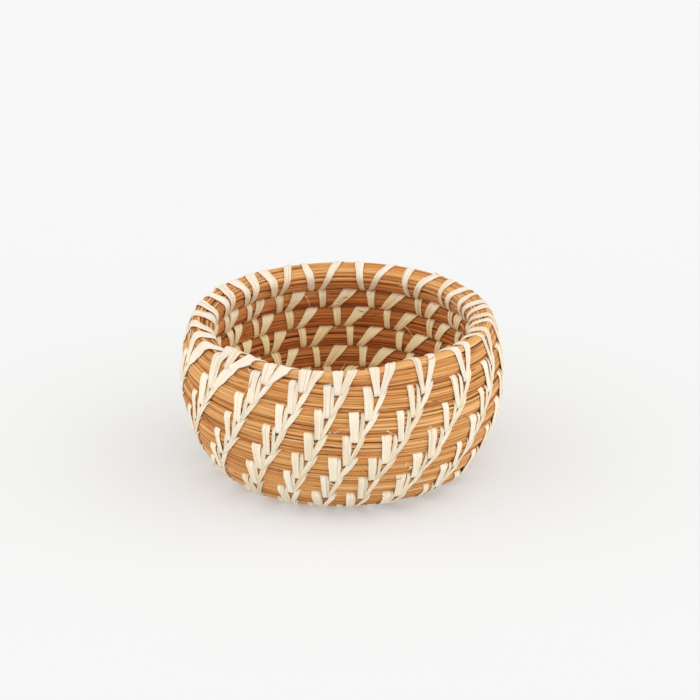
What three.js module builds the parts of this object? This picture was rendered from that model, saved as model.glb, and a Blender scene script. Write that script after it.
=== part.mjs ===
// Coiled pine needle basket, in millimetres, +Z up. The origin is on the surface that the basket
// stands on, on its own axis. The front faces -Y. A bundle of pine needles runs in one unbroken coil
// from the middle of the floor out to its edge and up the wall, clockwise seen from above. Strands of
// raffia sew each row in wheat stitch, which shows as a column of V shapes on both faces of the wall.

import * as THREE from 'three';

// Driving dimensions
const bellyRadius = 55.4; // axis to the middle of the bundle, where the wall is widest
const bellyHeight = 37; // of that widest place
const wallRadius = 48.9; // of the wall's curve, seen from the side
const edgeRadius = 10.6; // of the turn from the floor up into the wall
const rowPitch = 8.4; // from one row to the next
const coilTurns = 11.85; // from the axis to the end on the rim
const startTurns = -0.18; // where the bundle starts, thin, beside the axis
const axisGap = 0.05; // from the axis to the raffia round the start of the coil
const bundleDepth = 8.8; // of the needle bundle, through the wall
const faceShare = 0.52; // of that depth, taken by the bundle's flat outer and inner faces
const tailSteps = 5; // steps of the coil over which its end thins out
const tailShare = 0.4; // of the full bundle, left at its end
const tailPower = 3; // the larger, the longer that end stays thin
const climbRise = 1.9; // the rows stand this much higher at the front left than midway
const climbAzimuth = 41; // degrees, which places that high side
const climbTurns = 1.5; // turns from the middle of the floor over which that difference comes in

const columnCount = 20; // of stitches, round the basket
const columnDrift = 5; // degrees that a column moves, counterclockwise, for each row that it climbs
const spreadSwing = 4.8; // degrees by which the columns stand closer at the front than behind
const spreadAzimuth = 213; // degrees from the front, where they stand widest
const crowdSwing = 3.85; // degrees by which they also crowd together at three places
const crowdAzimuth = 107.7; // degrees, one of those places
const firstColumn = -55.5; // degrees, where the stitches end, before that spread
const seamShare = 0.72; // of a stitch, where the bundle bends between two stitches
const raffiaThickness = 0.35;
const raffiaHalfWidth = 1.3; // on the faces of the wall
const raffiaPinch = 0.6; // half width where it passes between two rows
const holeSpacing = 1.8; // between its two passes through one hole
const slantShare = 0.5; // of a stitch on the wall, spanned by the outer slanted leg
const floorSlantShare = 0.62; // the same on the floor
const clearance = 0.3; // between raffia and needles
const rowSlack = 0.15; // more than the raffia and its clearances take, between two rows

const wallStrands = 8; // one for each row of the wall
const floorStride = 2; // steps between stitches on the floor
const coreWrapSteps = 31; // steps of the coil that the raffia covers all round, at its start
const bindingShares = [0.15, 0.3, 0.65, 0.8]; // places of the close wraps at the end of the coil

const needleBrown = new THREE.MeshStandardMaterial({ color: 0xb5763c, roughness: 0.62, metalness: 0 });
const raffiaCream = new THREE.MeshStandardMaterial({ color: 0xeadbb8, roughness: 0.55, metalness: 0 });

const radians = Math.PI / 180;
const stitchAngle = (360 - columnDrift) / columnCount;
const faceHalf = (bundleDepth * faceShare) / 2;
const halfDepth = bundleDepth / 2;
const rowGap = 2 * clearance + raffiaThickness + rowSlack;
const halfHeight = (rowPitch - rowGap) / 2;
const skin = clearance + raffiaThickness;
const floorLevel = halfDepth + skin;

// The meridian: a level floor, a short turn, then the curve of the wall
const wallCentre = bellyRadius - wallRadius;
const edgeRise = bellyHeight - floorLevel - edgeRadius;
const edgeCentre = wallCentre + Math.sqrt((wallRadius - edgeRadius) ** 2 - edgeRise ** 2);
const edgeEnd = Math.atan2(-edgeRise, edgeCentre - wallCentre);
const edgeLength = (edgeEnd + Math.PI / 2) * edgeRadius;

function meridian(length) {
  if (length <= edgeCentre) return [length, floorLevel];
  if (length <= edgeCentre + edgeLength) {
    const turn = (length - edgeCentre) / edgeRadius;
    return [edgeCentre + edgeRadius * Math.sin(turn), floorLevel + edgeRadius * (1 - Math.cos(turn))];
  }
  const angle = edgeEnd + (length - edgeCentre - edgeLength) / wallRadius;
  return [wallCentre + wallRadius * Math.cos(angle), bellyHeight + wallRadius * Math.sin(angle)];
}

// The place one whole row further along the meridian, a straight pitch away
function nextRow(length) {
  const [radius, height] = meridian(length);
  let near = length + rowPitch * 0.9;
  let far = length + rowPitch * 1.3;
  for (let pass = 0; pass < 40; pass += 1) {
    const middle = (near + far) / 2;
    const [r, z] = meridian(middle);
    if (Math.hypot(r - radius, z - height) < rowPitch) near = middle;
    else far = middle;
  }
  return near;
}

function rowPlace(turns) {
  const whole = Math.max(Math.floor(turns), 0);
  let length = (turns - whole) * rowPitch;
  for (let row = 0; row < whole; row += 1) length = nextRow(length);
  return meridian(length);
}

// Azimuth from the front, counterclockwise seen from above, with the columns' uneven spread
function azimuth(angle) {
  const spread = spreadSwing * Math.sin((angle - spreadAzimuth) * radians);
  return angle + spread - crowdSwing * Math.sin(3 * (angle - crowdAzimuth) * radians);
}

// Steps count back down the coil from its end on the rim, one for each stitch
const endAngle = firstColumn + (seamShare - 1) * stitchAngle;
const endAzimuth = azimuth(endAngle);
const stepCount = Math.round(((coilTurns - startTurns) * 360) / stitchAngle);
const wrapFrom = stepCount - coreWrapSteps;

function coilRing(step) {
  const turn = azimuth(endAngle + step * stitchAngle);
  const turns = coilTurns - (turn - endAzimuth) / 360;
  const climb = (climbRise / rowPitch) * Math.min(Math.max(turns / climbTurns, 0), 1);
  const climbed = turns - climb * Math.sin((turn - climbAzimuth) * radians);
  const [radius, height] = rowPlace(climbed);
  const [lowRadius, lowHeight] = rowPlace(Math.max(climbed - 1, 0));
  const [highRadius, highHeight] = rowPlace(climbed + 1);
  const slope = Math.atan2(highHeight - lowHeight, highRadius - lowRadius);
  const share = Math.min(1, tailShare + (1 - tailShare) * (step / tailSteps) ** tailPower);
  const squeeze = step >= wrapFrom ? skin : 0;
  const drop = halfHeight * (1 - share);
  // The start of the coil loses what would reach over the axis, and keeps its outer edge
  const over = Math.max(axisGap + skin - (radius - halfHeight + squeeze), 0) / 2;
  const left = 1 - over / (halfHeight - squeeze);
  const ring = {
    turn: turn * radians,
    turns,
    radius: radius + over - drop * Math.cos(slope),
    height: height - drop * Math.sin(slope),
    slope,
    halfHeight: (halfHeight * share - squeeze) * left,
    faceHalf: faceHalf * share * left,
    halfDepth: halfDepth * share,
  };
  const standing = (ring.halfDepth + skin) * Math.cos(slope) + shoulder(ring, skin) * Math.sin(slope);
  ring.height = Math.max(ring.height, standing);
  return ring;
}

// Half height of the bundle's outer face, once its six faces are moved out by an offset
function shoulder(ring, offset) {
  const flank = Math.hypot(ring.halfHeight - ring.faceHalf, ring.halfDepth);
  const lean = (ring.halfHeight - ring.faceHalf) / flank;
  return ring.faceHalf + (offset * (1 - lean) * flank) / ring.halfDepth;
}

const rings = Array.from({ length: stepCount + 1 }, (_, step) => coilRing(step));

// Corners of the six-sided bundle, as signs along the row's rise and through the wall
const corners = [[-1, 0], [-1, 1], [1, 1], [1, 0], [1, -1], [-1, -1]];

// A corner of the bundle at a ring, moved out from its faces by an offset
function ringPoint(ring, corner, offset) {
  const [up, out] = corners[corner];
  const flank = Math.hypot(ring.halfHeight - ring.faceHalf, ring.halfDepth);
  const tip = ring.halfHeight + (offset * flank) / ring.halfDepth;
  const rise = up * (out === 0 ? tip : shoulder(ring, offset));
  const depth = out * (ring.halfDepth + offset);
  const radius = ring.radius + rise * Math.cos(ring.slope) + depth * Math.sin(ring.slope);
  const height = ring.height + rise * Math.sin(ring.slope) - depth * Math.cos(ring.slope);
  return new THREE.Vector3(radius * Math.sin(ring.turn), -radius * Math.cos(ring.turn), height);
}

// The same at any place between two rings, on the bundle's own flat faces
function coilPoint(step, corner, offset) {
  const ring = Math.min(Math.max(Math.floor(step), 0), stepCount - 1);
  const start = ringPoint(rings[ring], corner, offset);
  return start.lerp(ringPoint(rings[ring + 1], corner, offset), step - ring);
}

// A closed solid through a run of rings of points. Each ring goes the same way round.
function loft(loops) {
  const sides = loops[0].length;
  const positions = loops.flat().flatMap((point) => point.toArray());
  const indices = [];
  for (let loop = 0; loop < loops.length - 1; loop += 1) {
    for (let side = 0; side < sides; side += 1) {
      const next = (side + 1) % sides;
      const [a, b] = [loop * sides + side, loop * sides + next];
      indices.push(a, b, b + sides, a, b + sides, a + sides);
    }
  }
  const last = (loops.length - 1) * sides;
  for (let side = 1; side < sides - 1; side += 1) {
    indices.push(0, side + 1, side, last, last + side, last + side + 1);
  }
  const geometry = new THREE.BufferGeometry();
  geometry.setAttribute('position', new THREE.Float32BufferAttribute(positions, 3));
  geometry.setIndex(indices);
  geometry.computeVertexNormals();
  return geometry;
}

const basket = new THREE.Group();

function addPiece(name, geometry, material) {
  const piece = new THREE.Mesh(geometry, material);
  piece.name = name;
  basket.add(piece);
}

// The needle bundle, one unbroken tube
function needleCoil() {
  return loft(rings.map((ring) => corners.map((_, corner) => ringPoint(ring, corner, 0)).reverse()));
}

// Raffia wound edge to edge over the start of the coil, an open sleeve
function coreWrap() {
  const covered = rings.slice(wrapFrom + 1);
  const loops = [];
  for (const offset of [skin, clearance]) {
    const run = covered.map((ring) => corners.map((_, corner) => ringPoint(ring, corner, offset)).reverse());
    loops.push(offset === skin ? run : run.reverse());
  }
  const [outer, inner] = loops;
  const sides = corners.length;
  const rounds = [...outer, ...inner];
  const positions = rounds.flat().flatMap((point) => point.toArray());
  const indices = [];
  for (let loop = 0; loop < rounds.length; loop += 1) {
    for (let side = 0; side < sides; side += 1) {
      const next = (side + 1) % sides;
      const other = ((loop + 1) % rounds.length) * sides;
      indices.push(loop * sides + side, loop * sides + next, other + next);
      indices.push(loop * sides + side, other + next, other + side);
    }
  }
  const geometry = new THREE.BufferGeometry();
  geometry.setAttribute('position', new THREE.Float32BufferAttribute(positions, 3));
  geometry.setIndex(indices);
  geometry.computeVertexNormals();
  return geometry;
}

// One turn of raffia round the bundle: from the gap below, up outside, over and down inside.
// It starts and ends at two steps of the coil, with its top at a third.
const halfTurn = corners.slice(0, 4);

function wrapPath(from, top, to) {
  const ring = rings[Math.min(Math.max(Math.floor(from), 0), stepCount)];
  const flank = Math.hypot(ring.halfHeight - ring.faceHalf, ring.halfDepth);
  const walk = flank / (2 * flank + 2 * ring.faceHalf);
  const shares = [0, walk, 1 - walk];
  const path = shares.map((share, index) => ({ step: from + (top - from) * share, corner: index }));
  shares.forEach((share, index) => {
    path.push({ step: top + (to - top) * share, corner: index + halfTurn.length - 1 });
  });
  return path;
}

// A flat strand, low and ridged, along a path of places round the bundle
function strand(path) {
  return loft(
    path.map(({ step, corner }) => {
      const atGap = corners[corner][1] === 0;
      const ring = rings[Math.min(Math.max(Math.floor(step), 0), stepCount)];
      const spread = stepsAcross(ring, atGap ? raffiaPinch : raffiaHalfWidth);
      return [
        coilPoint(step - spread, corner, clearance),
        coilPoint(step, corner, skin),
        coilPoint(step + spread, corner, clearance),
      ];
    }),
  );
}

// Steps of the coil that a length along it takes
function stepsAcross(ring, length) {
  return length / (ring.radius * stitchAngle * radians);
}

// Wheat stitches from one step to another: an upright wrap, then a slanted one from the same hole
function stitchPath(first, count, stride, slant) {
  const path = [];
  for (let stitch = 0; stitch < count; stitch += 1) {
    const hole = first + stitch * stride;
    const halfHole = stepsAcross(rings[Math.floor(hole)], holeSpacing / 2);
    const peak = hole + slant * stride;
    path.push(...wrapPath(hole - halfHole, hole - halfHole, hole + halfHole));
    path.push(...wrapPath(hole + halfHole, peak, hole + stride - halfHole));
  }
  return path;
}

addPiece('needle_coil', needleCoil(), needleBrown);
addPiece('core_wrap', coreWrap(), raffiaCream);

const firstStitch = 2 - seamShare;
for (let row = 0; row < wallStrands; row += 1) {
  const path = stitchPath(firstStitch + row * columnCount, columnCount, 1, slantShare);
  addPiece(`wall_strand_${row + 1}`, strand(path), raffiaCream);
}

const floorStart = firstStitch + wallStrands * columnCount;
const floorStitches = Math.floor((wrapFrom - floorStart) / floorStride);
const strandStitches = columnCount / floorStride;
for (let done = 0; done < floorStitches; done += strandStitches) {
  const count = Math.min(strandStitches, floorStitches - done);
  const path = stitchPath(floorStart + done * floorStride, count, floorStride, floorSlantShare);
  addPiece(`floor_strand_${done / strandStitches + 1}`, strand(path), raffiaCream);
}

const bindingPath = bindingShares.flatMap((share, index) => {
  const next = bindingShares[index + 1] ?? share + (share - bindingShares[index - 1]);
  return wrapPath(share, share, next);
});
addPiece('end_binding', strand(bindingPath), raffiaCream);

// Least gap from one row of the coil to the next, on points along the faces that look at each other
function leastGap() {
  const perStep = 12;
  const turnSteps = 360 / stitchAngle;
  const lineOfPoints = (corner) => {
    const points = [];
    for (let tick = 0; tick < stepCount * perStep; tick += 1) {
      points.push(coilPoint(tick / perStep, corner, 0));
    }
    return points;
  };
  const upper = [2, 3, 4].map(lineOfPoints);
  const lower = [1, 0, 5].map(lineOfPoints);
  const back = Math.round(turnSteps * perStep);
  let least = Infinity;
  for (let tick = 0; tick + back < stepCount * perStep; tick += 1) {
    for (const below of upper) {
      for (const above of lower) {
        for (let shift = -perStep; shift <= 0; shift += 1) {
          const distance = above[tick].distanceTo(below[Math.max(tick + back + shift, 0)]);
          least = Math.min(least, distance);
        }
      }
    }
  }
  return least;
}
console.log(`Least gap between rows of the needle coil: ${leastGap().toFixed(2)} mm`);

export default basket;
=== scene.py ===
import math
import random

import bpy
import numpy as np
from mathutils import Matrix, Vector


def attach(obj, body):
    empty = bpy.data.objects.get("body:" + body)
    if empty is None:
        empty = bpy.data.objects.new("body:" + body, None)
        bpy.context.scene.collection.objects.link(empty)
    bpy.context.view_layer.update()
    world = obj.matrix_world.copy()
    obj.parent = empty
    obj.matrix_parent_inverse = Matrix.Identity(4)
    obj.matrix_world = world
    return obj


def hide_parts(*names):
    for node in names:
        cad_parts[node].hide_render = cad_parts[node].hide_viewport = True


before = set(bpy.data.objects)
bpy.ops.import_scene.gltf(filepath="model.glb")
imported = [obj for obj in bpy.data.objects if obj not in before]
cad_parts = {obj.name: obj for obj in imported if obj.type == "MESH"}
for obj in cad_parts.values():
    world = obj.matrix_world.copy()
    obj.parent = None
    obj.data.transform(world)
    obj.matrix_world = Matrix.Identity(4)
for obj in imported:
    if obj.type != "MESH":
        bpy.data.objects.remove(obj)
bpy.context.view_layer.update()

# A coiled pine needle basket, sewn with raffia in wheat stitch. The front faces -Y.
# Angles are degrees round the basket from the front, counterclockwise seen from above. They run
# on past 360, from the end of the bundle on the rim back down the coil to its start in the floor.

bpy.ops.object.select_all(action="DESELECT")
chance = random.Random(31)


# Camera

view = {"elevation": 24.8, "distance": 1.8, "lens": 247.6, "sensor": 36, "farthest": 20,
        "centreHeight": 0.030, "lookRight": 0.00285, "lookUp": 0.01384}


def addCamera():
    rise = math.radians(view["elevation"])
    back = Vector((0, -math.cos(rise), math.sin(rise)))
    up = Vector((0, math.sin(rise), math.cos(rise)))
    centre = Vector((0, 0, view["centreHeight"]))
    place = centre + back * view["distance"]
    target = centre + Vector((view["lookRight"], 0, 0)) + up * view["lookUp"]
    bpy.ops.object.camera_add(location=place)
    camera = bpy.context.object
    camera.data.lens = view["lens"]
    camera.data.sensor_width = view["sensor"]
    camera.data.clip_end = view["farthest"]
    camera.rotation_euler = (target - place).to_track_quat("-Z", "Y").to_euler()
    bpy.context.scene.camera = camera


addCamera()
print("camera set")


# The coil

coil = {
    "bellyRadius": 0.0554, "bellyHeight": 0.037,  # the middle of the bundle at the widest row
    "wallRadius": 0.0489, "edgeRadius": 0.0106,  # curves of the wall and of the floor's edge
    "floorLevel": 0.00505, "rowPitch": 0.0084,
    "turns": 11.85, "startTurns": -0.18,  # counted out from the middle of the floor
    "climbRise": 0.0019, "climbAzimuth": 41,  # the rows stand higher at the front left
    "climbTurns": 1.5,  # the turns from the middle over which that begins
    "halfDepth": 0.00455, "halfHeight": 0.00424,  # of the bundle's section
    "squareOutside": 4.2, "squareInside": 2.9,  # how flat the section is on its two faces
    "tailAngle": 78.8, "tailShare": 0.4, "tailPower": 3,  # the bundle thins out on the rim
    "tailLeast": 0.3, "tailDepth": 0.35,
    "axisGap": 0.0007, "standing": 0.00065,  # clear of the basket's axis and of the table
}
stitches = {
    "columns": 20, "drift": 5,  # stitches in a row, and how many degrees they fall back with each row
    "firstColumn": -55.5, "seamShare": 0.72,
    "spreadSwing": 4.8, "spreadAzimuth": 213,  # they stand closer on one side of the basket
    "crowdSwing": 3.85, "crowdAzimuth": 107.7, "crowdTimes": 3,  # and in three places round it
    "wallRows": 8, "floorStride": 2, "floorStitches": 25,
}
stitchAngle = (360 - stitches["drift"]) / stitches["columns"]
wallCentre = coil["bellyRadius"] - coil["wallRadius"]
edgeRise = coil["bellyHeight"] - coil["floorLevel"] - coil["edgeRadius"]
edgeCentre = wallCentre + math.sqrt((coil["wallRadius"] - coil["edgeRadius"]) ** 2 - edgeRise ** 2)
edgeEnd = math.atan2(-edgeRise, edgeCentre - wallCentre)
edgeLength = (edgeEnd + math.pi / 2) * coil["edgeRadius"]


# Radius and height of a place along the basket's profile: floor, edge, wall
def profile(length):
    turn = (length - edgeCentre) / coil["edgeRadius"]
    angle = edgeEnd + (length - edgeCentre - edgeLength) / coil["wallRadius"]
    onFloor, onEdge = length <= edgeCentre, length <= edgeCentre + edgeLength
    radius = np.where(onEdge, edgeCentre + coil["edgeRadius"] * np.sin(turn),
                      wallCentre + coil["wallRadius"] * np.cos(angle))
    height = np.where(onEdge, coil["floorLevel"] + coil["edgeRadius"] * (1 - np.cos(turn)),
                      coil["bellyHeight"] + coil["wallRadius"] * np.sin(angle))
    return np.where(onFloor, length, radius), np.where(onFloor, coil["floorLevel"], height)


# Length along the profile for a number of turns: each row lies a straight pitch beyond the last
def measureRows(rowCount=13, samples=100, halvings=40):
    pitch = coil["rowPitch"]
    rows = [np.arange(samples) / samples * pitch]
    for row in range(rowCount):
        start = profile(rows[-1])
        near, far = rows[-1] + pitch * 0.9, rows[-1] + pitch * 1.3
        for halving in range(halvings):
            middle = (near + far) / 2
            place = profile(middle)
            short = np.hypot(place[0] - start[0], place[1] - start[1]) < pitch
            near, far = np.where(short, middle, near), np.where(short, far, middle)
        rows.append(near)
    turns = np.arange((rowCount + 1) * samples) / samples
    return np.r_[-1, turns], np.r_[-pitch, np.concatenate(rows)]


rowTurns, rowLengths = measureRows()


# The angle of a stitch, by its number from the bundle's end on the rim
def azimuthOf(step):
    angle = stitches["firstColumn"] + (step + stitches["seamShare"] - 1) * stitchAngle
    spread = stitches["spreadSwing"] * math.sin(math.radians(angle - stitches["spreadAzimuth"]))
    crowdTurn = stitches["crowdTimes"] * (angle - stitches["crowdAzimuth"])
    return angle + spread - stitches["crowdSwing"] * math.sin(math.radians(crowdTurn))


endAzimuth = azimuthOf(0)
startAzimuth = endAzimuth + (coil["turns"] - coil["startTurns"]) * 360


# The bundle's middle, the slope of its row and the half sizes of its section, at an angle
def coilAt(angle):
    turns = coil["turns"] - (angle - endAzimuth) / 360
    climb = coil["climbRise"] / coil["rowPitch"] * np.clip(turns / coil["climbTurns"], 0, 1)
    climbed = turns - climb * np.sin(np.radians(angle - coil["climbAzimuth"]))
    radius, height = profile(np.interp(climbed, rowTurns, rowLengths))
    low = profile(np.interp(np.maximum(climbed - 1, 0), rowTurns, rowLengths))
    high = profile(np.interp(climbed + 1, rowTurns, rowLengths))
    slope = np.arctan2(high[1] - low[1], high[0] - low[0])
    along = (angle - endAzimuth) / coil["tailAngle"]
    share = coil["tailShare"] + (1 - coil["tailShare"]) * along ** coil["tailPower"]
    share = np.clip(share, coil["tailLeast"], 1)
    drop = coil["halfHeight"] * (1 - share)
    over = np.maximum(coil["axisGap"] + coil["halfHeight"] - radius, 0) / 2
    across = coil["halfHeight"] * share - over
    deep = coil["halfDepth"] * (coil["tailDepth"] + (1 - coil["tailDepth"]) * share)
    dual = coil["squareOutside"] / (coil["squareOutside"] - 1)
    lying, standing = deep * np.abs(np.cos(slope)), across * np.abs(np.sin(slope))
    under = (lying ** dual + standing ** dual) ** (1 / dual)  # how far down the section reaches
    height = np.maximum(height - drop * np.sin(slope), under + coil["standing"])
    return radius + over - drop * np.cos(slope), height, slope, across, deep


def bundlePlace(angle, radius, height):
    turned = np.radians(angle)
    return np.stack([radius * np.sin(turned), -radius * np.cos(turned), height], -1)


# Places on the bundle's surface. Round the section, 0 faces out, 90 up the wall, 180 inwards.
def onBundle(angle, around, off=0.0):
    angle, around, off = np.broadcast_arrays(np.asarray(angle, float), around, off)
    radius, height, slope, across, deep = coilAt(angle)
    c, s = np.cos(np.radians(around)), np.sin(np.radians(around))
    power = 2 / np.where(c > 0, coil["squareOutside"], coil["squareInside"])
    outward = np.sign(c) * np.abs(c) ** (2 - power) / deep
    upward = np.sign(s) * np.abs(s) ** (2 - power) / across
    size = np.hypot(outward, upward)
    outward, upward = outward / size, upward / size
    depth = deep * np.sign(c) * np.abs(c) ** power + off * outward
    rise = across * np.sign(s) * np.abs(s) ** power + off * upward
    r = radius + rise * np.cos(slope) + depth * np.sin(slope)
    z = height + rise * np.sin(slope) - depth * np.cos(slope)
    nr = upward * np.cos(slope) + outward * np.sin(slope)
    nz = upward * np.sin(slope) - outward * np.cos(slope)
    return bundlePlace(angle, r, z), bundlePlace(angle, nr, nz)


def radiusAt(angle):
    return float(coilAt(np.array([angle]))[0][0])


# Metres along the outside of a row for one degree round the basket
def degreeLength(angle):
    return math.radians(radiusAt(angle) + coil["halfDepth"])


# Angle along the coil for a length along the middle of the bundle, from its end on the rim
coilSamples, girthSamples = 8000, 1441
alongAngles = np.linspace(endAzimuth, startAzimuth, coilSamples)
alongSteps = coilAt(alongAngles)[0][1:] * np.radians(np.diff(alongAngles))
alongLengths = np.concatenate([[0], np.cumsum(alongSteps)])
bundleLength = alongLengths[-1]

# Angle round the section for a share of its girth, taken at a place on the wall
girthAngles = np.linspace(0, 360, girthSamples)
girthPoints = onBundle(400.0, girthAngles)[0]
girthSteps = np.linalg.norm(np.diff(girthPoints, axis=0), axis=1)
girthShares = np.concatenate([[0], np.cumsum(girthSteps)])
girth = girthShares[-1]
girthShares = girthShares / girth
print(f"coil laid out: bundle {bundleLength:.3f} m long, girth {girth * 1000:.1f} mm")


# Mesh making

toneShift = 40  # puts each tube on its own part of the pattern


def unit(vectors):
    return vectors / np.maximum(np.linalg.norm(vectors, axis=-1, keepdims=True), 1e-12)


# The ways aside and outwards from a strand at each of its places
def strandFrame(place, normal):
    forward = unit(np.gradient(place, axis=0))
    side = unit(np.cross(forward, normal))
    return side, np.cross(side, forward)


# Rings of points round a strand. Its size at each place multiplies its half width and half thickness.
def ringsRound(place, size, side, up, spokes, halfWidth=1.0, halfThick=1.0):
    turned = np.cos(spokes)[None, :, None] * side[:, None] * halfWidth
    raised = np.sin(spokes)[None, :, None] * up[:, None] * halfThick
    return place[:, None] + size[:, None, None] * (turned + raised)


# Gathers closed tubes, each a run of rings of points, then makes them one mesh with a UV map
# (along, across) in metres and shares, and a tone for each tube
class Tubes:
    def __init__(self):
        self.points, self.quads, self.caps = [], [], []
        self.quadMap, self.capMap, self.tones = [], [], []
        self.count = 0

    def add(self, rings, along, tone):
        rings[..., 2] = np.maximum(rings[..., 2], 0)  # pressed flat where the basket stands
        length, sides = rings.shape[:2]
        edges = np.roll(rings, -1, 1) - rings
        steps = rings[1:] - rings[:-1]
        middle = rings.mean(1, keepdims=True)
        facing = np.cross(edges[:-1], steps)
        flipped = (facing * (rings[:-1] - middle[:-1])).sum() < 0
        ring, side = np.meshgrid(np.arange(length - 1), np.arange(sides), indexing="ij")
        after = (side + 1) % sides
        quad = np.stack([ring * sides + side, ring * sides + after,
                         (ring + 1) * sides + after, (ring + 1) * sides + side], -1).reshape(-1, 4)
        u = np.stack([along[ring], along[ring], along[ring + 1], along[ring + 1]], -1).reshape(-1, 4)
        v = np.stack([side, side + 1, side + 1, side], -1).reshape(-1, 4) / sides
        first = np.arange(sides)[::-1]
        last = (length - 1) * sides + np.arange(sides)
        if flipped:
            quad, u, v = quad[:, ::-1], u[:, ::-1], v[:, ::-1]
            first, last = first[::-1], last[::-1]
        self.points.append(rings.reshape(-1, 3))
        self.quads.append(quad + self.count)
        start = tone * toneShift
        self.quadMap.append(np.stack([u, v + start], -1))
        self.caps += [first + self.count, last + self.count]
        self.capMap += [np.tile([place, start], (sides, 1)) for place in (along[0], along[-1])]
        self.tones.append(np.full(length * sides, tone))
        self.count += length * sides

    def make(self, name, finish, slot, nodes):
        points = np.concatenate(self.points).astype(np.float32)
        quads = np.concatenate(self.quads)
        corners = np.concatenate([quads.ravel(), *self.caps]).astype(np.int32)
        sizes = np.concatenate([np.full(len(quads), 4), [len(cap) for cap in self.caps]])
        starts = np.concatenate([[0], np.cumsum(sizes)[:-1]]).astype(np.int32)
        mesh = bpy.data.meshes.new(name)
        mesh.vertices.add(len(points))
        mesh.vertices.foreach_set("co", points.ravel())
        mesh.loops.add(len(corners))
        mesh.loops.foreach_set("vertex_index", corners)
        mesh.polygons.add(len(sizes))
        mesh.polygons.foreach_set("loop_start", starts)
        mesh.update(calc_edges=True)
        mesh.polygons.foreach_set("use_smooth", np.ones(len(sizes), bool))
        spread = np.concatenate([np.concatenate(self.quadMap).reshape(-1, 2), *self.capMap])
        mesh.uv_layers.new(name="strand").data.foreach_set("uv", spread.astype(np.float32).ravel())
        mesh.attributes.new("tone", "FLOAT", "POINT").data.foreach_set(
            "value", np.concatenate(self.tones).astype(np.float32))
        mesh.validate()
        piece = bpy.data.objects.new(name, mesh)
        bpy.context.scene.collection.objects.link(piece)
        mesh.materials.append(finish)
        settle(piece, nodes)


def settle(piece, nodes):
    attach(piece, "root")
    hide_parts(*nodes)


# A smooth run of points through a few, about a spacing apart, with any values that go with them.
# A gap wider than the filling between two of them is filled first, so that it stays straight.
def smoothRun(points, values, spacing, filling=0.0009):
    both = np.concatenate([points, values], 1)
    gaps = np.linalg.norm(np.diff(points, axis=0), axis=1)
    parts = [np.linspace(first, last, max(int(gap / filling), 1), endpoint=False)
             for first, last, gap in zip(both[:-1], both[1:], gaps)]
    both = np.concatenate([*parts, both[-1:]])
    gaps = np.maximum(np.linalg.norm(np.diff(both[:, :3], axis=0), axis=1), 1e-6)
    knots = np.concatenate([[0], np.cumsum(gaps)])
    wanted = np.linspace(0, knots[-1], max(int(knots[-1] / spacing), 4) + 1)
    slopes = np.gradient(both, knots, axis=0)
    index = np.clip(np.searchsorted(knots, wanted, side="right") - 1, 0, len(knots) - 2)
    width = (knots[index + 1] - knots[index])[:, None]
    t = ((wanted - knots[index]) / width[:, 0])[:, None]
    a, b = both[index], both[index + 1]
    ta, tb = slopes[index] * width, slopes[index + 1] * width
    run = (2 * t ** 3 - 3 * t ** 2 + 1) * a + (t ** 3 - 2 * t ** 2 + t) * ta \
        + (3 * t ** 2 - 2 * t ** 3) * b + (t ** 3 - t ** 2) * tb
    return run[:, :3], run[:, 3:], wanted


# Finishes

# Where the painted shade inside the basket and on the top of the rim begins and is full: depths within
# the wall's curve, the height over which the shade inside deepens, and heights on the rim
lookEdges = {"innerFrom": 0.001, "innerTo": 0.0035, "insideShadeFade": 0.024, "rimShadeFrom": 0.050, "rimShadeTo": 0.056}


# One value in a material's node tree, so that its maths reads as plain sums
class Wire:
    def __init__(self, finish, socket):
        self.finish, self.socket = finish, socket

    def maths(self, operation, first, second):
        return self.finish.node("ShaderNodeMath", {"operation": operation}, {0: first, 1: second})

    def __add__(self, other):
        return self.maths("ADD", self, other)

    def __radd__(self, other):
        return self.maths("ADD", other, self)

    def __sub__(self, other):
        return self.maths("SUBTRACT", self, other)

    def __rsub__(self, other):
        return self.maths("SUBTRACT", other, self)

    def __mul__(self, other):
        return self.maths("MULTIPLY", self, other)

    def __rmul__(self, other):
        return self.maths("MULTIPLY", other, self)


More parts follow.
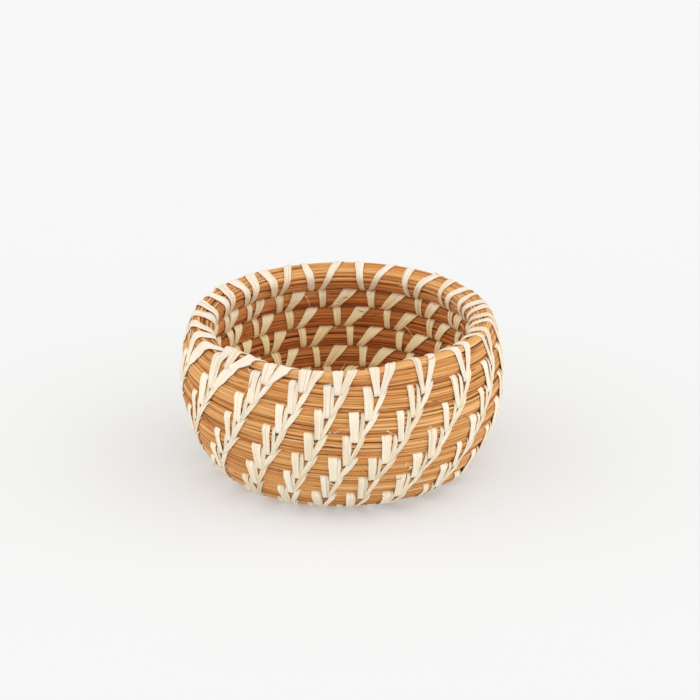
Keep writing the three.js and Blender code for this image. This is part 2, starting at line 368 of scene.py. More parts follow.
class Finish:
    def __init__(self, name):
        self.material = bpy.data.materials.new(name)
        self.material.use_nodes = True
        self.tree = self.material.node_tree
        self.shader = self.tree.nodes["Principled BSDF"]

    def node(self, kind, settings, sockets, output=0):
        made = self.tree.nodes.new(kind)
        for key, value in settings.items():
            if key == "stops":
                for place, colour in value[1:-1]:
                    made.color_ramp.elements.new(place)
                for stop, (place, colour) in zip(made.color_ramp.elements, value):
                    stop.position, stop.color = place, (*colour, 1)
            else:
                setattr(made, key, value)
        for key, value in sockets.items():
            self.feed(made.inputs[key], value)
        return Wire(self, made.outputs[output])

    def feed(self, socket, value):
        if isinstance(value, Wire):
            self.tree.links.new(value.socket, socket)
        else:
            socket.default_value = value

    def set(self, **sockets):
        for key, value in sockets.items():
            self.feed(self.shader.inputs[key.replace("_", " ")], value)

    # a noise that is drawn out along the strands: so many spots for each metre and each width
    def streaks(self, along, across, detail=2.0, rough=0.5, shift=0.0):
        spot = self.node("ShaderNodeUVMap", {"uv_map": "strand"}, {})
        placed = self.node("ShaderNodeMapping", {}, {"Vector": spot, "Scale": (along, across, 1),
                                                     "Location": (shift, shift, shift)})
        return self.node("ShaderNodeTexNoise", {"noise_dimensions": "2D"},
                         {"Vector": placed, "Scale": 1.0, "Detail": detail, "Roughness": rough})

    def tone(self):
        return self.node("ShaderNodeAttribute", {"attribute_name": "tone"}, {}, "Fac")

    def root(self, value):
        return self.node("ShaderNodeMath", {"operation": "SQRT"}, {0: value})

    # 0 to 1 as a value goes from low to high
    def rise(self, value, low, high):
        return self.node("ShaderNodeMapRange", {}, {"Value": value, "From Min": low, "From Max": high})

    # X, Y or Z of a place, in metres
    def coordinate(self, axis):
        spot = self.node("ShaderNodeTexCoord", {}, {}, "Object")
        return self.node("ShaderNodeSeparateXYZ", {}, {"Vector": spot}, axis)

    # Painted shade inside the basket: 0 on the outside and above the top, 1 deep inside the basket, from
    # the place on the wall's curve
    def inside(self, top):
        x, y, z = [self.coordinate(axis) for axis in "XYZ"]
        out = self.root(x * x + y * y) - wallCentre
        up = z - coil["bellyHeight"]
        near = self.root(out * out + up * up)
        wall = coil["wallRadius"]
        inner = self.rise(near, wall - lookEdges["innerFrom"], wall - lookEdges["innerTo"])
        return inner * self.rise(z, top, top - lookEdges["insideShadeFade"])

    # Painted shade on the top of the rim: 1 there, where the raffia is made a little darker
    def rimShadeMask(self):
        return self.rise(self.coordinate("Z"), lookEdges["rimShadeFrom"], lookEdges["rimShadeTo"])

    def multiply(self, share, colour, factor):
        return self.node("ShaderNodeMix", {"data_type": "RGBA", "blend_type": "MULTIPLY"},
                         {0: share, 6: colour, 7: (*factor, 1)}, 2)

    def ramp(self, value, stops):
        return self.node("ShaderNodeValToRGB", {"stops": stops}, {"Fac": value})

    def blend(self, share, first, second):
        return self.node("ShaderNodeMix", {"data_type": "RGBA"}, {0: share, 6: first, 7: second}, 2)

    def bump(self, height, strength):
        return self.node("ShaderNodeBump", {},
                         {"Height": height, "Strength": strength, "Distance": 0.0003})


needleLook = {
    "dark": (0.24, 0.078, 0.019), "brown": (0.53, 0.205, 0.054),
    "tan": (0.70, 0.36, 0.12), "straw": (0.82, 0.51, 0.24),
    "patches": (28, 0.9), "lines": (9, 5.5),  # spots for each metre along and for each width
    "toneShare": 0.75, "patchShare": 0.5, "lineShare": 0.95, "shadeDrop": 0.635,
    "roughness": 0.45, "roughnessSwing": 0.2, "gloss": 0.15,
    "bump": 0.6, "lineBump": 0.7, "patchBump": 0.3,
    "paintedInsideShade": (0.76, 0.52, 0.36), "insideShadeTop": 0.062,  # painted shade inside the basket, darker further down
}


def needleFinish():
    look = needleLook
    finish = Finish("dry_pine_needle")
    patches = finish.streaks(*look["patches"], detail=3, rough=0.6)
    lines = finish.streaks(*look["lines"], detail=2, shift=3.7)
    shade = finish.tone() * look["toneShare"] + patches * look["patchShare"]
    shade = shade + lines * look["lineShare"] - look["shadeDrop"]
    colour = finish.ramp(shade, [(0.0, look["dark"]), (0.3, look["brown"]),
                                 (0.6, look["tan"]), (1.0, look["straw"])])
    # painted shade inside the basket
    colour = finish.multiply(finish.inside(look["insideShadeTop"]), colour, look["paintedInsideShade"])
    bump = finish.bump(lines * look["lineBump"] + patches * look["patchBump"], look["bump"])
    finish.set(Base_Color=colour, Roughness=look["roughness"] + look["roughnessSwing"] * patches,
               Normal=bump, Specular_IOR_Level=look["gloss"])
    return finish.material


raffiaLook = {
    "shade": (0.70, 0.50, 0.28), "cream": (0.925, 0.785, 0.565), "pale": (0.95, 0.865, 0.715),
    "fibres": (14, 11), "patches": (90, 1.2),
    "fibreShare": 2.0, "patchShare": 0.3, "toneShare": 0.3, "shadeDrop": 0.76,
    "roughness": 0.42, "roughnessSwing": 0.25, "gloss": 0.45, "bump": 0.7,
    "paintedInsideShade": (1.0, 0.95, 0.73), "insideShadeTop": 0.056,  # painted shade and warm bounce light inside the basket
    # painted shade on the top of the rim, where the light from above falls strongest
    "paintedRimShade": (0.88, 0.87, 0.9),
}


def raffiaFinish():
    look = raffiaLook
    finish = Finish("split_raffia")
    fibres = finish.streaks(*look["fibres"], detail=3, rough=0.65)
    patches = finish.streaks(*look["patches"], detail=2, shift=5.1)
    shade = fibres * look["fibreShare"] + patches * look["patchShare"]
    shade = shade + finish.tone() * look["toneShare"] - look["shadeDrop"]
    colour = finish.ramp(shade, [(0.1, look["shade"]), (0.42, look["cream"]), (0.75, look["pale"])])
    # painted shade and warm bounce light inside the basket
    colour = finish.multiply(finish.inside(look["insideShadeTop"]), colour, look["paintedInsideShade"])
    # painted shade on the top of the rim
    colour = finish.multiply(finish.rimShadeMask(), colour, look["paintedRimShade"])
    finish.set(Base_Color=colour, Roughness=look["roughness"] + look["roughnessSwing"] * fibres,
               Normal=finish.bump(fibres, look["bump"]), Specular_IOR_Level=look["gloss"])
    return finish.material


# What lies in shade: the core between the needles, and the mouths of the stitch holes
shadedLook = {
    "coreDark": (0.15, 0.05, 0.015), "coreLight": (0.30, 0.12, 0.04),
    "holeDark": (0.11, 0.042, 0.015), "holeLight": (0.23, 0.095, 0.035),
    "spots": (30, 40), "roughness": 0.8,
}


def shadedFinish(name, dark, light):
    finish = Finish(name)
    spots = finish.streaks(*shadedLook["spots"], detail=2)
    colour = finish.ramp(spots, [(0.3, shadedLook[dark]), (0.7, shadedLook[light])])
    finish.set(Base_Color=colour, Roughness=shadedLook["roughness"])
    return finish.material


needleSkin, raffiaSkin = needleFinish(), raffiaFinish()
coreSkin = shadedFinish("shaded_needle", "coreDark", "coreLight")
holeSkin = shadedFinish("hole_shade", "holeDark", "holeLight")
print("finishes made")


# The needle bundle

needles = {
    "tracks": 32, "shortest": 0.08, "longest": 0.19, "least": 0.012, "lap": 0.009,
    "width": 0.0012, "thickness": 0.00095, "spacing": 0.0042, "sides": 6,
    "tipLength": 0.012, "tipSize": 0.4, "dip": 0.0006,  # its ends are thinner and lie deeper
    "drift": 0.02, "driftLength": 0.15, "wander": 0.005, "waves": (0.8, 2.4),
    "unevenness": 0.00006, "lift": 0.00007,
    "hiddenAngle": 9,  # none is laid so close to where two rows touch
    "crossing": 110, "crossingWidth": 0.7,
    "crossingLengths": (0.05, 0.12), "crossingLifts": (0.0001, 0.0003),
    "grooveDips": [0.00075, 0.00105, 0.0008], "grooveStep": 0.00062, "grooveWave": 0.00018,
    "grooveEnd": 700,  # degrees before the start of the bundle
    "endDepths": [(13, 0.0009), (8, 0.0017)],  # needles within the cut end, and how deep they lie
    "endStarts": (0.0001, 0.0016), "endLengths": (0.02, 0.03),
}
fullTurn = 6.28


# One needle through places on the bundle, with the way out from its middle at each
def layNeedle(row, along, place, normal, width, thick, tone):
    tip = np.minimum(along - along[0], along[-1] - along)
    ease = np.clip(tip / needles["tipLength"], 0, 1)
    ease = ease * ease * (3 - 2 * ease)
    size = needles["tipSize"] + (1 - needles["tipSize"]) * ease
    place = place - normal * (thick * 0.5 + needles["dip"] * (1 - ease))[:, None]
    side, normal = strandFrame(place, normal)
    spokes = np.radians(np.arange(needles["sides"]) * 360 / needles["sides"] + 30)
    row.add(ringsRound(place, size, side, normal, spokes, width / 2, thick / 2), along, tone)


# Places along a needle, by its lengths along the bundle, or nothing if too little of it is left
def needleSpan(begin, length):
    end = min(begin + length, bundleLength)
    begin = max(begin, 0.0)
    if end - begin < needles["least"]:
        return None
    return np.linspace(begin, end, max(int((end - begin) / needles["spacing"]), 4) + 1)


# A needle on its own track round the bundle
def layTrack(row, begin, length, share, width, lift):
    along = needleSpan(begin, length)
    if along is None:
        return
    u = np.linspace(0, 1, len(along))
    angle = np.interp(along, alongLengths, alongAngles)
    drift = chance.gauss(0, needles["drift"]) * (along[-1] - along[0]) / needles["driftLength"]
    wave, phase = chance.uniform(*needles["waves"]), chance.uniform(0, fullTurn)
    sway = chance.gauss(0, needles["wander"]) * np.sin(fullTurn * wave * u + phase)
    track = share + drift * (u - 0.5) + sway
    around = np.interp(track % 1.0, girthShares, girthAngles)
    thick = needles["thickness"] * (0.85 + 0.3 * chance.random())
    uneven = chance.gauss(0, needles["unevenness"])
    off = lift + uneven * np.sin(fullTurn * chance.uniform(0.5, 2) * u + phase)
    place, normal = onBundle(angle, around, off)
    layNeedle(row, along, place, normal, width, thick, chance.betavariate(2.2, 1.8))


# A needle that lies in the outer groove between a row and the row below it
def layGroove(row, begin, length, rise, dip):
    along = needleSpan(begin, length)
    if along is None:
        return
    u = np.linspace(0, 1, len(along))
    angle = np.interp(along, alongLengths, alongAngles)
    radius, height, slope, across, deep = coilAt(angle)
    wave, phase = chance.uniform(*needles["waves"]), chance.uniform(0, fullTurn)
    rise = rise - coil["rowPitch"] / 2 + needles["grooveWave"] * np.sin(fullTurn * wave * u + phase)
    depth = deep - dip - chance.gauss(0, 0.0001)
    place = bundlePlace(angle, radius + rise * np.cos(slope) + depth * np.sin(slope),
                        height + rise * np.sin(slope) - depth * np.cos(slope))
    normal = bundlePlace(angle, np.sin(slope), -np.cos(slope))
    layNeedle(row, along, place, normal, needles["width"] * chance.uniform(0.75, 1.1),
              needles["thickness"], chance.betavariate(1.5, 2.4))


def layBundle():
    rows = {}

    def rowAt(along):
        angle = float(np.interp(along, alongLengths, alongAngles))
        return rows.setdefault(int((angle - endAzimuth) // 360) + 1, Tubes())

    rimEnd = alongLengths[np.searchsorted(alongAngles, endAzimuth + 360)]
    for number in range(needles["tracks"]):
        share = (number + 0.5 + chance.uniform(-0.2, 0.2)) / needles["tracks"]
        around = float(np.interp(share, girthShares, girthAngles))
        begin = -chance.uniform(0, needles["longest"])
        while begin < bundleLength:
            length = chance.uniform(needles["shortest"], needles["longest"])
            fromTop, fromBelow = abs(around - 90), abs(around - 270)
            hidden = fromBelow < needles["hiddenAngle"] \
                or (fromTop < needles["hiddenAngle"] and begin > rimEnd)
            width = needles["width"] * chance.uniform(0.7, 1.25)
            if not hidden:
                lift = chance.gauss(0, needles["lift"])
                layTrack(rowAt(max(begin, 0)), begin, length, share, width, lift)
            begin += length - needles["lap"] * chance.uniform(0.6, 1.6)
    for number in range(needles["crossing"]):
        begin = chance.uniform(0, bundleLength - needles["shortest"])
        layTrack(rowAt(begin), begin, chance.uniform(*needles["crossingLengths"]), chance.random(),
                 needles["width"] * needles["crossingWidth"], chance.uniform(*needles["crossingLifts"]))
    rowStart = alongLengths[np.searchsorted(alongAngles, startAzimuth - needles["grooveEnd"])]
    for number, dip in enumerate(needles["grooveDips"]):
        begin = -chance.uniform(0, needles["longest"])
        while begin < rowStart:
            length = chance.uniform(needles["shortest"], needles["longest"])
            layGroove(rowAt(max(begin, 0)), begin, length, (1 - number) * needles["grooveStep"], dip)
            begin += length - needles["lap"]
    for count, depth in needles["endDepths"]:
        for number in range(count):
            begin, length = chance.uniform(*needles["endStarts"]), chance.uniform(*needles["endLengths"])
            layTrack(rowAt(0), begin, length, (number + 0.5) / count, needles["width"], -depth)
    for number in sorted(rows):
        rows[number].make(f"needles_row_{number:02d}", needleSkin, "needles", ["needle_coil"])
    print(f"{sum(len(row.points) for row in rows.values())} needles in {len(rows)} rows")


# What shows between the needles: the deeper ones, in shade
shadedCore = {"begin": 0.0035, "spacing": 0.004, "sides": 14, "depth": 0.00085}


def layCore():
    count = int(bundleLength / shadedCore["spacing"])
    along = np.linspace(shadedCore["begin"], bundleLength, count)
    angle = np.interp(along, alongLengths, alongAngles)
    around = np.arange(shadedCore["sides"]) * 360 / shadedCore["sides"]
    core = Tubes()
    core.add(onBundle(angle[:, None], around[None], -shadedCore["depth"])[0], along, 0.5)
    core.make("bundle_core", coreSkin, "needles", ["needle_coil"])


layBundle()
layCore()


# Raffia

raffia = {
    "thickness": 0.00034, "spacing": 0.0009, "ribs": 11, "leastWidth": 0.0002,
    "ribFold": (-0.6, 0.3), "crownEdge": 0.93, "crownPower": 6, "underside": 0.00003,
    "wave": 0.12, "waveRates": (300, 700), "edgeWave": 0.04, "edgeRates": (500, 1100),
    "upright": 0.0036, "uprightSwing": (0.74, 1.22), "leastUpright": 0.0022,
    "footShare": 0.76, "rimFootShare": 0.6, "room": 0.0009,  # beside it, for a branch
    "inside": 0.0034, "insideFoot": 0.0019, "swing": (0.85, 1.2), "endShare": 0.7,
    "insideAside": -0.0006, "rimInsideAside": -0.0024,  # where a wrap goes in again, beside its hole
    "uprightAside": -0.0002, "slantAside": 0.001, "slantShort": 0.0012,
    "footUneven": 0.00015, "leanUneven": 0.0003, "branchUneven": 0.0002,
    "fan": 0.0047, "rimFan": 0.0037, "fanSwing": (0.85, 1.15), "fanFoot": 0.0016,
    "rimLean": 0.45, "rimLeanFrom": 0.9, "rimLeanMost": 0.5, "rimSlantFoot": (0.0018, 0.002),
    "overTop": 0.0088, "overTopMost": 0.52,
    "leftBranch": 0.0017, "rightBranch": 0.0022, "partLeft": 0.0022, "partRight": 0.0024, "tuck": 1.07,
    "holeRises": [0.001, 0.0015, 0.0024, 0.0018, 0.0026, 0.0029, 0.0029, 0.0026],
    "holeAside": 0.22, "holeUneven": 0.00025, "holeWidth": 0.0034, "holeHeight": 0.0011,
}

# How far aside a branch of a slanted wrap has come, and its width, by its height: 1 at the hole above
branchShape = {
    "leftWay": [(0, 0), (0.3, 0.6), (0.7, 1), (1.3, 1.22)],
    "leftWidth": [(0, 0.55), (0.3, 0.75), (0.7, 1), (1, 0.8), (1.3, 0.3)],
    "rightWidth": [(0, 0.55), (0.3, 0.7), (0.7, 1), (1, 0.8), (1.4, 0.6)],
}


# Angle round the section for a height above the middle of the row
def aroundAt(rise):
    share = min(max(rise / coil["halfHeight"], -1), 1)
    return math.degrees(math.asin(math.copysign(abs(share) ** (coil["squareOutside"] / 2), share)))


# A flat ribbed strand through places on the bundle. Each place is (angle, row, around, off, width),
# where row 1 is the row below.
def laySplint(tubes, places, tone, spacing=None):
    places = np.array(places, float)
    point, normal = onBundle(places[:, 0] + 360 * places[:, 1], places[:, 2], places[:, 3])
    run, extra, along = smoothRun(point, np.concatenate([normal, places[:, 4:5]], 1),
                                  spacing or raffia["spacing"])
    width = np.maximum(extra[:, 3], raffia["leastWidth"])
    side, normal = strandFrame(run, unit(extra[:, :3]))
    across = np.linspace(-1, 1, raffia["ribs"])
    crown = np.sqrt(np.maximum(1 - (raffia["crownEdge"] * np.abs(across)) ** raffia["crownPower"], 0))
    fold = np.array([chance.uniform(*raffia["ribFold"]) for rib in across])
    rate, phase = chance.uniform(*raffia["waveRates"]), chance.uniform(0, 6)
    wave = np.sin(along[:, None] * rate + across[None] * 3 + phase)
    top = raffia["thickness"] * (crown * (1 + fold))[None] * (1 + raffia["wave"] * wave)
    rate, phase = chance.uniform(*raffia["edgeRates"]), chance.uniform(0, 6)
    edge = 1 + raffia["edgeWave"] * np.sin(along * rate + phase)
    half = (width * edge / 2)[:, None]
    upper = run[:, None] + side[:, None] * (across[None] * half)[..., None]
    upper = upper + normal[:, None] * top[..., None]
    low = np.array([0.9, 0.0, -0.9])
    lower = run[:, None] + side[:, None] * (low[None] * half)[..., None]
    lower = lower - normal[:, None] * raffia["underside"]
    tubes.add(np.concatenate([upper, lower], 1), along, tone)


def jitter(amount):
    return chance.gauss(0, amount)


# Where each stitch's hole goes through the row below: its angle and its height in that row
def markHoles():
    first = 2 - stitches["seamShare"]
    holes = {}
    for number in range(-1, stitches["columns"] * (stitches["wallRows"] + 5)):
        row = max(number, 0) // stitches["columns"]
        rise = raffia["holeRises"][min(row, len(raffia["holeRises"]) - 1)]
        holes[number] = (azimuthOf(first + number) + jitter(raffia["holeAside"]),
                         rise + jitter(raffia["holeUneven"]))
    return holes


holes = markHoles()


# The stitches stand fuller on the rim at the front left, and a little fuller below it
fuller = {"azimuth": -72, "spread": 62, "least": 0.84, "more": 0.72, "belowShare": 0.25}


def fullness(angle, row):
    away = (angle - fuller["azimuth"] + 180) % 360 - 180
    full = fuller["least"] + fuller["more"] * math.exp(-(away / fuller["spread"]) ** 2)
    return full if row == 0 else 1 + (full - 1) * fuller["belowShare"]


# The places of a route that a taut strand touches. Its first three places lead out of the hole.
def pullTaut(points):
    flat = np.stack([np.hypot(points[:, 0], points[:, 1]), points[:, 2]], -1)
    kept = [0, 1, 2]
    for place in range(3, len(flat)):
        while len(kept) > 3:
            before, after = flat[kept[-1]] - flat[kept[-2]], flat[place] - flat[kept[-1]]
            if before[0] * after[1] - before[1] * after[0] > 0:
                break
            kept.pop()
        kept.append(place)
    return kept


# A strand along a route of (row, around, off) over the bundle. How far it lies along the row, in
# metres, and its width go by the share of its length past the hole.
def layWrap(tubes, angle, route, aside, width):
    route = np.array(route, float)
    degree = degreeLength(angle)
    points = onBundle(angle + 360 * route[:, 0], route[:, 1], route[:, 2])[0]
    kept = pullTaut(points)
    points, route = points[kept], route[kept]
    lengths = np.concatenate([[0], np.cumsum(np.linalg.norm(np.diff(points, axis=0), axis=1))])
    shares = np.maximum(lengths - lengths[2], 0) / (lengths[-1] - lengths[2])
    places = [(angle + aside(share) / degree, *place, width(share)) for share, place in zip(shares, route)]
    laySplint(tubes, places, chance.random())


def grade(share, *stops):
    return float(np.interp(share, [stop[0] for stop in stops], [stop[1] for stop in stops]))


# Out of the hole in the row below and up that row's shoulder
def footRoute(rise, lift):
    return [(1, aroundAt(rise - 0.0005), -0.0016), (1, aroundAt(rise - 0.00015), -0.0004),
            (1, aroundAt(rise + 0.0001), lift + 0.0001), (1, aroundAt(rise + 0.0008), lift + 0.0002),
            (1, aroundAt(0.0033), lift + 0.0001), (1, aroundAt(0.0038), lift), (1, aroundAt(0.0041), lift)]


# Angles round the row that a wrap passes, and how high over the bundle: over the outside, down the
# inside, where a branch goes under the row above, and where the fan comes out inside from under it
overRoute = [(-36, 0.0002), (-22, 0.0002)]
overRoute += [(around, 0.00012) for around in (-8, 6, 20, 34, 48, 60, 72, 84, 96)]
insideRoute = [(around, 0.00014) for around in (108, 120, 134, 148, 162, 176, 190, 204, 218)]
insideRoute += [(230, 0.0001), (242, 0.0), (252, -0.0005), (262, -0.0016)]
branchRoute = overRoute[:8] + [(72, -0.0003), (84, -0.0012)]
fanRoute = [(72, -0.0011), (86, -0.0005)] + insideRoute


def onRow(route):
    return [(0, around, off) for around, off in route]


# One wheat stitch on a row: an upright wrap, then a slanted one from the same hole to the next.
# The slanted wrap is split where the hole of the row above goes through it.
def sewStitch(tubes, number, stride, row):
    angle, holeRise = holes[number]
    reach = holes[number + stride][0] - angle
    degree = degreeLength(angle)
    full = fullness(angle, row)
    onRim = row == 0
    wholeRoute = onRow(overRoute + insideRoute)

    # the upright wrap, which leaves room for a branch beside the upright of the row above
    wide = raffia["upright"] * full * chance.uniform(*raffia["uprightSwing"])
    if not onRim:
        upper, upperRise = holes[number - stitches["columns"]]
        upperAside = (upper + 360 - angle) * degree
        wide = min(wide, max(upperAside - raffia["room"], raffia["leastUpright"]))
    thin = wide * raffia["rimFootShare" if onRim else "footShare"]
    insideWide = raffia["inside"] * full * chance.uniform(*raffia["swing"])
    insideThin = raffia["insideFoot"] * (full if onRim else 1)
    insideAside = raffia["rimInsideAside" if onRim else "insideAside"]
    begin = raffia["uprightAside"] + jitter(raffia["footUneven"])
    lean = jitter(raffia["leanUneven"])
    layWrap(tubes, angle, footRoute(holeRise, 0.0002) + wholeRoute,
            lambda share: begin + lean * share + insideAside * max(share - 0.5, 0) * 2,
            lambda share: grade(share, (0, thin), (0.06, thin), (0.36, wide), (0.5, wide),
                                (0.58, insideWide), (0.95, insideThin),
                                (1, insideThin * raffia["endShare"])))

    # the slanted wrap, whole on the rim, and only its fan down the inside elsewhere
    begin = raffia["slantAside"] + jitter(raffia["footUneven"])
    finish = reach * degree + insideAside - raffia["slantShort"]
    fan = raffia["rimFan" if onRim else "fan"] * full * chance.uniform(*raffia["fanSwing"])
    fanFoot, fanEnd = raffia["fanFoot"], raffia["fanFoot"] * raffia["endShare"]
    if onRim:
        further = min(max(full - raffia["rimLeanFrom"], 0), raffia["rimLeanMost"])
        overShare = 0.5 + raffia["rimLean"] * further  # the fuller it is, the further it leans
        foot, shoulder = [size * full for size in raffia["rimSlantFoot"]]
        layWrap(tubes, angle, footRoute(holeRise, 0.0) + wholeRoute,
                lambda share: begin + (finish - begin) * grade(share, (0, 0), (0.5, overShare), (1, 1)),
                lambda share: grade(share, (0, foot), (0.06, shoulder), (0.36, fan), (0.55, fan),
                                    (0.92, fanFoot), (1, fanEnd)))
        return
    overTop = min(raffia["overTop"] * chance.uniform(0.93, 1.07), reach * degree * raffia["overTopMost"])
    layWrap(tubes, angle, onRow(fanRoute),
            lambda share: overTop + (finish - overTop) * share,
            lambda share: grade(share, (0, fan), (0.1, fan), (0.9, fanFoot), (1, fanEnd)))

    # its outer part, parted by the hole of the row above: one branch goes up beside the upright, the
    # other past the hole. How far each has come goes by its height, 1 at that hole.
    bottom = holeRise - coil["rowPitch"]
    level = raffia["tuck"] * (coil["halfHeight"] - bottom) / (upperRise - bottom)
    route = footRoute(holeRise, 0.0) + onRow(branchRoute)
    leftWide = raffia["leftBranch"] * chance.uniform(*raffia["swing"])
    rightWide = raffia["rightBranch"] * chance.uniform(*raffia["swing"])
    leftEnd = upperAside - raffia["partLeft"] + jitter(raffia["branchUneven"])
    rightEnd = upperAside + raffia["partRight"] + jitter(raffia["branchUneven"])
    layWrap(tubes, angle, route,
            lambda share: begin + (leftEnd - begin) * grade(share * level, *branchShape["leftWay"]),
            lambda share: leftWide * grade(share * level, *branchShape["leftWidth"]))
    layWrap(tubes, angle, route,
            lambda share: begin + (rightEnd - begin) * share * level,
            lambda share: rightWide * grade(share * level, *branchShape["rightWidth"]))


def sewWall():
    columns = stitches["columns"]
    for row in range(stitches["wallRows"]):
        tubes = Tubes()
        for stitch in range(columns):
            sewStitch(tubes, row * columns + stitch, 1, row)
        tubes.make(f"raffia_wall_row_{row + 1}", raffiaSkin, "raffia", [f"wall_strand_{row + 1}"])
    print("wall sewn")


# On the floor, whose rows are shorter, only every second place has a stitch
def sewFloor():
    start = stitches["wallRows"] * stitches["columns"]
    perRow = stitches["columns"] // stitches["floorStride"]
    for done in range(0, stitches["floorStitches"], perRow):
        tubes = Tubes()
        row = done // perRow + 1
        for stitch in range(done, min(done + perRow, stitches["floorStitches"])):
            sewStitch(tubes, start + stitch * stitches["floorStride"], stitches["floorStride"],
                      stitches["wallRows"] + row)
        tubes.make(f"raffia_floor_row_{row}", raffiaSkin, "raffia", [f"floor_strand_{row}"])
    print("floor sewn")


# Painted shade in the dark mouth of each stitch hole: a small lens just under the upright's foot
def shadeHoleMouths():
    mouths = Tubes()
    steps = np.linspace(-1, 1, 9)
    shape = np.sqrt(np.maximum(1 - steps ** 2, 0.03))
    spokes = np.radians(np.arange(8) * 45)
    for number in range(stitches["wallRows"] * stitches["columns"]):
        angle, rise = holes[number]
        width = raffia["holeWidth"] * chance.uniform(0.8, 1.15)
        tall = raffia["holeHeight"] * chance.uniform(0.7, 1.2)
        aside = (steps * width / 2 + 0.0001) / degreeLength(angle)
        place, normal = onBundle(angle + 360 + aside, aroundAt(rise - 0.0003 - tall / 2), 0.00002)
        side = strandFrame(place, normal)[0]
        mouths.add(ringsRound(place, shape, side, normal, spokes, tall / 2, 0.0001),
                   steps * 0.001, chance.random())
    mouths.make("hole_mouth_shadows", holeSkin, "needles", ["needle_coil"])


sewWall()
sewFloor()
shadeHoleMouths()


# The wrapped start and the bound end

wraps = {
    "from": 213.8, "pitch": 0.0021, "width": 0.0026, "perTurn": 22, "spacing": 0.0016,
    "lift": 0.0001, "liftStep": 0.00002,  # every other place lies a little higher
    "endShare": 0.06, "endAside": -0.001, "endLean": 0.004,
    "endWidth": [(0, 0.0022), (0.4, 0.005), (0.6, 0.005), (1, 0.002)],
}


# Raffia wound edge to edge over the start of the bundle, in the middle of the floor
def wrapStart():
    begin = float(np.interp(azimuthOf(wraps["from"]), alongAngles, alongLengths))
    turns = (bundleLength - begin) / wraps["pitch"]
    u = np.linspace(0, turns, int(turns * wraps["perTurn"]))
    angle = np.interp(begin + u * wraps["pitch"], alongLengths, alongAngles)
    places = [(a, 0, (360 * t) % 360, wraps["lift"] + wraps["liftStep"] * (i % 2), wraps["width"])
              for i, (a, t) in enumerate(zip(angle, u))]
    tubes = Tubes()
    laySplint(tubes, places, 0.5, spacing=wraps["spacing"])
    tubes.make("raffia_start_wrap", raffiaSkin, "raffia", ["core_wrap"])


# The thin end of the bundle is sewn down by one more stitch and by a turn close to its tip
def bindEnd():
    tubes = Tubes()
    sewStitch(tubes, -1, 1, 0)
    route = footRoute(raffia["holeRises"][0], 0.0001) + onRow(overRoute + insideRoute)
    layWrap(tubes, azimuthOf(wraps["endShare"]), route,
            lambda share: wraps["endLean"] * share + wraps["endAside"],
            lambda share: grade(share, *wraps["endWidth"]))
    tubes.make("raffia_end_binding", raffiaSkin, "raffia", ["end_binding"])


wrapStart()
bindEnd()
print("start wrapped, end bound")


# Loose fibres: hairs of raffia and splinters of needle that stand off the surface. The tufts are
# those at the front, on the rim, low at the right, inside and at the left edge.
fibres = {
    "raffiaHairs": 60, "needleHairs": 50, "longest": 0.0055, "width": 0.00028, "taper": 0.7,
    "rows": 7, "tuftSize": 7, "tuftSpread": (2.2, 9), "tuftShares": (0.15, 0.5),
    "tufts": [(0.5, 92), (-3, -52), (717, -48), (1466, -10), (1264, 118), (272, 15), (264, -10)],
}


def layHair(tubes, angle, around, length):
    u = np.linspace(0, 1, 6)
    turn, bend, lift = chance.uniform(-1, 1), chance.uniform(-0.6, 0.6), chance.uniform(0.1, 0.5)
    aside = length * (u * math.cos(turn) + bend * u * u * math.sin(turn))
    rise = length * (u * math.sin(turn) - bend * u * u * math.cos(turn))
    place, normal = onBundle(angle + np.degrees(aside / radiusAt(angle)) * chance.choice([-1, 1]),
                             around + np.degrees(rise / coil["halfHeight"]),
                             0.00015 + length * lift * u * u)
    side, up = strandFrame(place, normal)
    size = fibres["width"] * (1 - fibres["taper"] * u) * chance.uniform(0.7, 1.3)
    spokes = np.radians([45, 135, 225, 315])
    tubes.add(ringsRound(place, size, side, up, spokes), u * length, chance.uniform(0.5, 0.9))


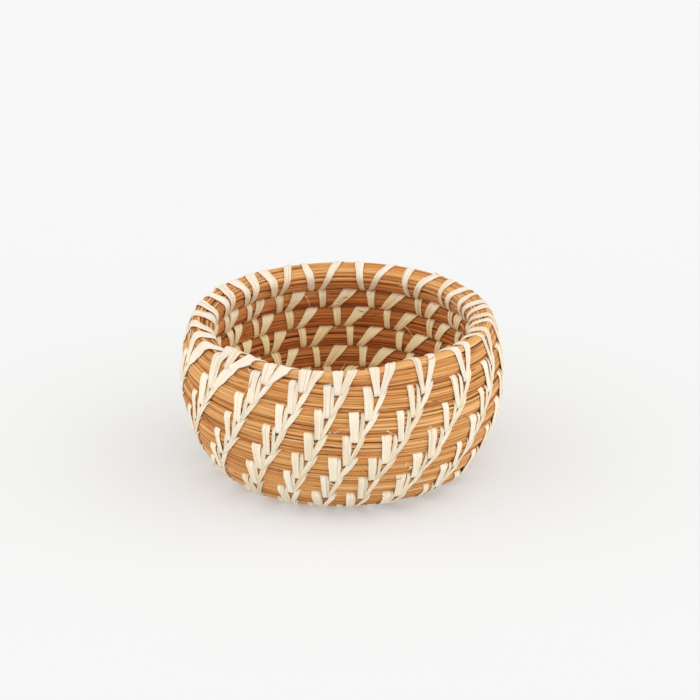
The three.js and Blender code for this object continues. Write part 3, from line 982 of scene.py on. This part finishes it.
def layLoose():
    wallEnd = endAzimuth + 360 * fibres["rows"]
    aside, rise = fibres["tuftSpread"]
    raffiaHairs, needleHairs = Tubes(), Tubes()
    for tubes, count in ((raffiaHairs, fibres["raffiaHairs"]), (needleHairs, fibres["needleHairs"])):
        for hair in range(count):
            angle = chance.uniform(endAzimuth + 20, wallEnd)
            around = chance.choice([chance.uniform(-50, 50), chance.uniform(130, 220)])
            layHair(tubes, angle, around, fibres["longest"] * chance.uniform(0.35, 1))
    for angle, around in fibres["tufts"]:
        for hair in range(fibres["tuftSize"]):
            layHair(raffiaHairs, angle + chance.gauss(0, aside), around + chance.gauss(0, rise),
                    fibres["longest"] * chance.uniform(*fibres["tuftShares"]))
    raffiaHairs.make("raffia_hairs", raffiaSkin, "raffia", ["wall_strand_1"])
    needleHairs.make("needle_splinters", needleSkin, "needles", ["needle_coil"])


layLoose()
print("loose fibres laid")


# Floor and light

# The table glows faintly, so that its shadows stay light. Each lamp has its strength and the way that
# it shines: high from the right and the left, faintly from the front, low from the right and the left.
studio = {
    "size": 12, "floor": (0.475, 0.48, 0.481), "grain": 9.0, "grainLift": 1.01,
    "roughness": 0.85, "gloss": 0.2, "glow": 0.33, "glowColour": (1, 1, 0.99, 1),
    "world": 0.64, "sky": (1, 0.995, 0.985, 1), "lampAngle": 90,
    "lamps": [(1.1, (-0.92, 0.38, -1.05)), (0.85, (0.92, 0.38, -1.05)), (0.08, (0.0, 1.0, -0.6)),
              (0.7, (-1.0, 0.1, -0.25)), (0.7, (1.0, 0.1, -0.25))],
}


def addFloor():
    bpy.ops.mesh.primitive_plane_add(size=studio["size"], location=(0, 0, 0))
    floor = bpy.context.object
    floor.name = "studio_floor"
    finish = Finish("pale_floor")
    paper = finish.node("ShaderNodeTexCoord", {}, {}, "Object")
    grain = finish.node("ShaderNodeTexNoise", {},
                        {"Vector": paper, "Scale": studio["grain"], "Detail": 3.0})
    paler = [v * studio["grainLift"] for v in studio["floor"]]
    colour = finish.blend(grain, (*studio["floor"], 1), (*paler, 1))
    finish.set(Base_Color=colour, Roughness=studio["roughness"], Specular_IOR_Level=studio["gloss"],
               Emission_Color=studio["glowColour"], Emission_Strength=studio["glow"])
    floor.data.materials.append(finish.material)


def addLight():
    world = bpy.data.worlds.new("studio")
    world.use_nodes = True
    sky = world.node_tree.nodes["Background"]
    sky.inputs["Color"].default_value = studio["sky"]
    sky.inputs["Strength"].default_value = studio["world"]
    bpy.context.scene.world = world
    for strength, direction in studio["lamps"]:
        bpy.ops.object.light_add(type="SUN", location=[-v for v in direction])
        lamp = bpy.context.object
        lamp.data.energy = strength
        lamp.data.angle = math.radians(studio["lampAngle"])
        lamp.rotation_euler = Vector(direction).to_track_quat("-Z", "Y").to_euler()
    bpy.context.scene.view_settings.view_transform = "Standard"


addFloor()
addLight()
print("studio set")
